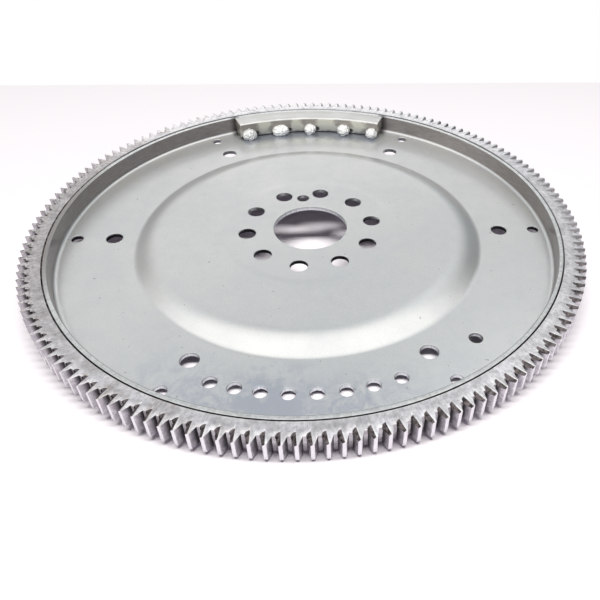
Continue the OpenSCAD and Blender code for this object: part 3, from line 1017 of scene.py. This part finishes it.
class FLEXPLATE_OT_stitches(bpy.types.Operator):
    """Build the stitch welds under the ring gear"""

    bl_idname = "flexplate.stitches"
    bl_label = "Stitch welds"

    STEPS = 72
    RIPPLES = 24

    def execute(self, context):
        weight = context.scene.flexplate_weight
        disc = context.scene.flexplate_disc
        gear = context.scene.flexplate_gear
        low = disc.rim_h - gear.width
        bend = Vector((disc.rim_r - disc.sheet_t - disc.rim_bend_r, disc.sheet_t + disc.rim_bend_r))
        bend_r = disc.rim_bend_r + disc.sheet_t
        root = Vector((gear.bore_r, low))
        bm = bmesh.new()
        for k in range(weight.stitch_count):
            start = (k + 0.5) * TURN / weight.stitch_count - weight.stitch_arc / 2
            rings = []
            for i in range(self.STEPS + 1):
                along = i / self.STEPS
                turn = start + weight.stitch_arc * along
                rings.append(self.section(bm, weight, along, turn, root, bend, bend_r))
            bar(bm, rings)
        finish = context.scene.flexplate_finish
        skin = weld_plate("stitch_weld", finish.gear, finish.gear_dark, 0.75)
        piece = finish_mesh(bm, "stitch_beads", [skin], 50.0, 1e-7)
        stands_for(piece, "stitch_welds")
        return {"FINISHED"}

    def section(self, bm, weight, along, turn, root, bend, bend_r):
        """One section of the bead: round below, flat on the gear, hollow on the rim's bend."""
        end = min(along, 1 - along) * 10
        swell = math.sqrt(max(0.0, 1 - (1 - min(end, 1.0)) ** 2))
        ripple = 0.94 + 0.06 * abs(math.sin(along * self.RIPPLES * math.pi))
        radius = weight.stitch_r * (0.35 + 0.65 * swell) * ripple
        points = []
        for i in range(13):
            a = -math.pi * i / 12
            point = root + Vector((math.cos(a), math.sin(a))) * radius
            away = point - bend
            if away.length < bend_r:
                point = bend + away.normalized() * bend_r
            points.append(point)
        return [bm.verts.new(on_circle(p.x, turn, p.y)) for p in points]


class FLEXPLATE_OT_stage(bpy.types.Operator):
    """Set up the white floor, the studio light and the camera"""

    bl_idname = "flexplate.stage"
    bl_label = "Stage"

    def execute(self, context):
        scene = context.scene
        stage = scene.flexplate_stage
        self.floor(stage)
        self.light(stage)
        self.world(scene, stage)
        self.camera(scene, stage)
        scene.view_settings.view_transform = "Standard"
        return {"FINISHED"}

    @staticmethod
    def floor(stage):
        """A pale floor. The plate rests on it at the front and is propped up at the back."""
        bm = bmesh.new()
        wide, front, back = 0.7, -0.42, 0.62
        corners = ((-wide, front), (wide, front), (wide, back), (-wide, back))
        bm.faces.new([bm.verts.new((x, y, 0)) for x, y in corners])
        material = bpy.data.materials.new("white_floor")
        material.use_nodes = True
        s = Shader(material.node_tree)
        shown = s.rays("Camera", "Glossy", "Transmission")
        shown *= s.math("LESS_THAN", s.put("ShaderNodeLightPath", out="Diffuse Depth"), 0.5)
        plain = s.put("ShaderNodeBsdfDiffuse", {"Color": rgba(stage.floor)})
        white = s.put("ShaderNodeBsdfDiffuse", {"Color": rgba(stage.floor_gain * Vector(stage.floor_shown))})
        surface = s.put("ShaderNodeMixShader", {0: shown, 1: plain, 2: white})
        s.put("ShaderNodeOutputMaterial", {"Surface": surface})
        floor = finish_mesh(bm, "floor", [material])
        rests_at = Vector((0.0, -stage.floor_rests_at, 0.0))
        floor.matrix_world = Matrix.Translation(rests_at) @ Matrix.Rotation(-stage.floor_tilt, 4, "X")

    @staticmethod
    def light(stage):
        """A soft lamp overhead. The metal mirrors the studio's softbox in its place."""
        data = bpy.data.lights.new("overhead_lamp", "AREA")
        data.energy = stage.lamp_w
        data.color = stage.lamp
        data.shape = "RECTANGLE"
        data.size = stage.lamp_long
        data.size_y = stage.lamp_wide
        lamp = bpy.data.objects.new("overhead_lamp", data)
        lamp.location = (0.0, stage.lamp_y, stage.lamp_h)
        lamp.visible_glossy = False
        bpy.context.scene.collection.objects.link(lamp)

    def world(self, scene, stage):
        """White for the camera, the studio in the metal and plain fill for the rest."""
        world = bpy.data.worlds.new("studio")
        scene.world = world
        world.use_nodes = True
        s = Shader(world.node_tree)
        fill = s.put("ShaderNodeBackground", {"Color": rgba(stage.fill), "Strength": stage.fill_strength})
        studio = s.put("ShaderNodeBackground", {"Color": self.studio(s), "Strength": 1.0})
        white = s.put("ShaderNodeBackground", {"Color": (1, 1, 1, 1), "Strength": 1.0})
        mixed = s.put("ShaderNodeMixShader", {0: s.rays("Glossy", "Transmission"), 1: fill, 2: studio})
        mixed = s.put("ShaderNodeMixShader", {0: s.rays("Camera"), 1: mixed, 2: white})
        s.put("ShaderNodeOutputWorld", {"Surface": mixed})

    @staticmethod
    def studio(s):
        """The studio that the metal mirrors, by direction: x to the right, y to the back, z up."""
        x, y, z = s.split(s.put("ShaderNodeTexCoord", out="Generated"))
        wide = abs(x)
        # A pale backdrop, greyer to the right, with a dark flag there
        backdrop = s.spread(x, -0.20, 0.65, 0.92, 0.445, False) * s.spread(x, -0.75, -0.35, 0.84, 1.0)
        backdrop *= 1.0 - s.spread(x, 0.52, 0.68) * s.climb(z, 0.35, 0.50, 0.50)
        # It dims towards the table and at the left
        dim = s.spread(wide, 0.05, 0.30, 0.28, 0.44) * s.spread(x, 0.20, 0.55, 1.0, 0.15)
        backdrop *= 1.0 - dim * s.fall(z, -0.15, 0.30)
        left = s.fall(x, -0.26, -0.12) * s.spread(x, -0.38, -0.30, 0.15, 0.38)
        backdrop *= 1.0 - left * s.fall(z, 0.46, 0.58)
        # A glow low in the middle, and a brighter patch higher up on the right
        glow = s.spread(z, 0.33, 0.40) * s.fall(z, 0.44, 0.48, 0.85)
        backdrop += glow * s.fall(wide, 0.30, 0.60)
        aslant = z + s.spread(x, 0.0, 0.5, -0.2, 0.2, False)
        patch = s.climb(aslant, 0.655, 0.69, 0.42) + s.climb(z, 0.69, 0.76, 0.12)
        backdrop += s.spread(x, 0.12, 0.22) * s.fall(x, 0.36, 0.50) * patch
        # Cooler on the right and high up, with a blue-grey band under the softbox
        cool = s.climb(x, -0.1, 0.4, 0.05) * s.fall(z, 0.15, 0.5)
        cool = s.most(cool, s.climb(z, 0.56, 0.70, 0.03))
        studio = s.join(backdrop - cool, backdrop, backdrop + cool)
        band = s.spread(z, 0.73, 0.79) * s.fall(x, 0.06, 0.20) * s.spread(z, 0.80, 0.90, 1.0, 0.3)
        studio = s.mix(band, studio, (0.30, 0.32, 0.38))
        studio = s.times(studio, s.spread(z, -0.15, 0.05, 0.35, 1.0))
        # The softbox overhead reaches forward, half as bright low in front
        lean = y / s.most(z, 0.05) - s.climb(x, 0.30, 0.60, 0.16)
        softbox = s.fall(lean, 0.42, 0.54) * s.spread(lean, -1.3, -0.7, 0.5, 1.0) * s.spread(z, 0.02, 0.25)
        softbox *= s.most(s.fall(x, 0.5, 0.6), s.spread(z, 0.54, 0.64))
        studio = s.mix(softbox, studio, (1.45, 1.45, 1.43))
        contrast, black, least = 1.387, -0.415, 0.02
        studio = s.vector("MULTIPLY_ADD", studio, [contrast] * 3, [black] * 3)
        return s.vector("MAXIMUM", studio, [least] * 3)

    @staticmethod
    def camera(scene, stage):
        data = bpy.data.cameras.new("camera")
        data.lens = stage.lens
        data.sensor_width = 36.0
        data.shift_x = stage.shift_x
        data.clip_start = 0.01
        tip = math.pi / 2 - stage.camera_down
        aim = Matrix.Rotation(stage.camera_turn, 4, "Z") @ Matrix.Rotation(tip, 4, "X")
        aim @= Matrix.Rotation(stage.camera_roll, 4, "Z")
        camera = bpy.data.objects.new("camera", data)
        camera.matrix_world = Matrix.Translation(stage.camera_at) @ aim
        scene.collection.objects.link(camera)
        scene.camera = camera


class FLEXPLATE_PT_build(bpy.types.Panel):
    """Buttons that build the flexplate"""

    bl_idname = "FLEXPLATE_PT_build"
    bl_label = "Flexplate"
    bl_space_type = "VIEW_3D"
    bl_region_type = "UI"
    bl_category = "Flexplate"

    def draw(self, context):
        for operator in OPERATORS:
            self.layout.operator(operator.bl_idname)


OPERATORS = (
    FLEXPLATE_OT_disc,
    FLEXPLATE_OT_gear,
    FLEXPLATE_OT_weight,
    FLEXPLATE_OT_tacks,
    FLEXPLATE_OT_stitches,
    FLEXPLATE_OT_stage,
)
CLASSES = (*SETTINGS.values(), *OPERATORS, FLEXPLATE_PT_build)


def register():
    for cls in CLASSES:
        bpy.utils.register_class(cls)
    for name, group in SETTINGS.items():
        setattr(bpy.types.Scene, name, PointerProperty(type=group))


def unregister():
    for name in SETTINGS:
        delattr(bpy.types.Scene, name)
    for cls in reversed(CLASSES):
        bpy.utils.unregister_class(cls)


def main():
    register()
    bpy.ops.flexplate.disc()
    bpy.ops.flexplate.gear()
    bpy.ops.flexplate.weight()
    bpy.ops.flexplate.tacks()
    bpy.ops.flexplate.stitches()
    bpy.ops.flexplate.stage()


if __name__ == "__main__":
    main()
